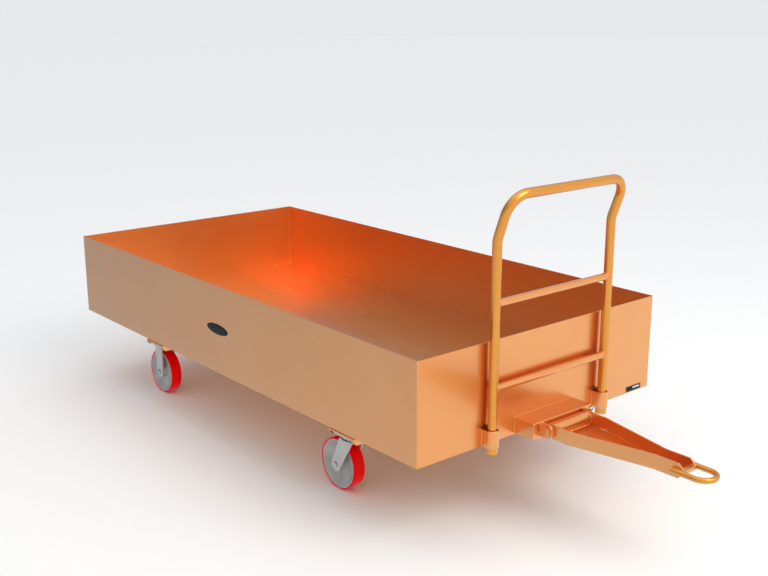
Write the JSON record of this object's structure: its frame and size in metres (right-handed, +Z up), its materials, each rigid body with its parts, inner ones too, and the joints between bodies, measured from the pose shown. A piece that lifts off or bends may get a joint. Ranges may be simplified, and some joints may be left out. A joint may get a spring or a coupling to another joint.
{
  "type": "platform truck",
  "caption": "Towable deep-sided steel platform truck with push handle, hinged drawbar and tow ring, swivel casters in front and rigid casters behind.",
  "frame": {"origin": "on the floor, midway along the overall length with the drawbar level, on the truck's centre line", "axes": "+X forward towards the tow ring, +Y to the truck's left, +Z up"},
  "size_m": [3.1522, 1.2192, 1.2092],
  "materials": {
    "coat_orange": "glossy powder coat",
    "caster_grey": "satin grey enamel",
    "core_grey": "grey enamel over casting",
    "tread_red": "moulded red polyurethane",
    "zinc_steel": "zinc plated",
    "bearing_steel": "ground steel",
    "label_black": "blank label"
  },
  "bodies": {
    "chassis": {"deck_plate": "coat_orange", "side_panel_left": "coat_orange", "side_panel_right": "coat_orange", "end_panel_front": "coat_orange", "end_panel_rear": "coat_orange", "sill_left": "coat_orange", "sill_right": "coat_orange", "cross_members": "coat_orange", "bolster_front": "coat_orange", "bolster_rear": "coat_orange", "caster_bolts": "zinc_steel", "caster_nuts": "zinc_steel", "rear_fork_left": "caster_grey", "rear_fork_right": "caster_grey", "front_top_plate_left": "caster_grey", "front_top_plate_right": "caster_grey", "kingpin_left": "zinc_steel", "kingpin_right": "zinc_steel", "swivel_balls_left": "bearing_steel", "swivel_balls_right": "bearing_steel", "rear_axle_bolts": "zinc_steel", "rear_axle_nuts": "zinc_steel", "rear_axle_sleeves": "zinc_steel", "socket_pipe_left": "coat_orange", "socket_pipe_right": "coat_orange", "socket_strap_left": "coat_orange", "socket_strap_right": "coat_orange", "hitch_box": "coat_orange", "hinge_knuckles": "coat_orange", "hinge_pin": "zinc_steel", "hinge_washer": "zinc_steel", "hinge_cotter": "zinc_steel", "label_plate": "label_black"},
    "swivel_left": {"front_fork_left": "caster_grey", "front_axle_bolt_left": "zinc_steel", "front_axle_nut_left": "zinc_steel", "front_axle_sleeve_left": "zinc_steel"},
    "swivel_right": {"front_fork_right": "caster_grey", "front_axle_bolt_right": "zinc_steel", "front_axle_nut_right": "zinc_steel", "front_axle_sleeve_right": "zinc_steel"},
    "front_left_wheel": {"front_left_tread": "tread_red", "front_left_wheel_core": "core_grey", "front_left_roller_bearing": "bearing_steel"},
    "front_right_wheel": {"front_right_tread": "tread_red", "front_right_wheel_core": "core_grey", "front_right_roller_bearing": "bearing_steel"},
    "rear_left_wheel": {"rear_left_tread": "tread_red", "rear_left_wheel_core": "core_grey", "rear_left_roller_bearing": "bearing_steel"},
    "rear_right_wheel": {"rear_right_tread": "tread_red", "rear_right_wheel_core": "core_grey", "rear_right_roller_bearing": "bearing_steel"},
    "drawbar": {"tongue_channel": "coat_orange", "hinge_tube": "coat_orange", "nose_bar": "coat_orange", "tow_ring": "coat_orange"},
    "push_handle": {"handle_hoop": "coat_orange", "handle_rung_lower": "coat_orange", "handle_rung_upper": "coat_orange"}
  },
  "joints": [
    {"name": "swivel_left_turn", "type": "hinge", "parent": "chassis", "child": "swivel_left", "pos_m": [0.33713, 0.4625, 0.217], "axis": [0, 0, 1], "continuous": true},
    {"name": "swivel_right_turn", "type": "hinge", "parent": "chassis", "child": "swivel_right", "pos_m": [0.33713, -0.4625, 0.217], "axis": [0, 0, 1], "continuous": true},
    {"name": "front_left_wheel_spin", "type": "hinge", "parent": "swivel_left", "child": "front_left_wheel", "pos_m": [0.27913, 0.4625, 0.1016], "axis": [0, 1, 0], "continuous": true},
    {"name": "front_right_wheel_spin", "type": "hinge", "parent": "swivel_right", "child": "front_right_wheel", "pos_m": [0.27913, -0.4625, 0.1016], "axis": [0, 1, 0], "continuous": true},
    {"name": "rear_left_wheel_spin", "type": "hinge", "parent": "chassis", "child": "rear_left_wheel", "pos_m": [-1.08387, 0.4625, 0.1016], "axis": [0, 1, 0], "continuous": true},
    {"name": "rear_right_wheel_spin", "type": "hinge", "parent": "chassis", "child": "rear_right_wheel", "pos_m": [-1.08387, -0.4625, 0.1016], "axis": [0, 1, 0], "continuous": true},
    {"name": "drawbar_hinge", "type": "hinge", "parent": "chassis", "child": "drawbar", "pos_m": [0.97852, 0, 0.3525], "axis": [0, -1, 0], "range_deg": [-35, 90]},
    {"name": "handle_lift", "type": "slide", "parent": "chassis", "child": "push_handle", "axis": [0, 0, 1], "range_m": [0, 0.085]}
  ]
}
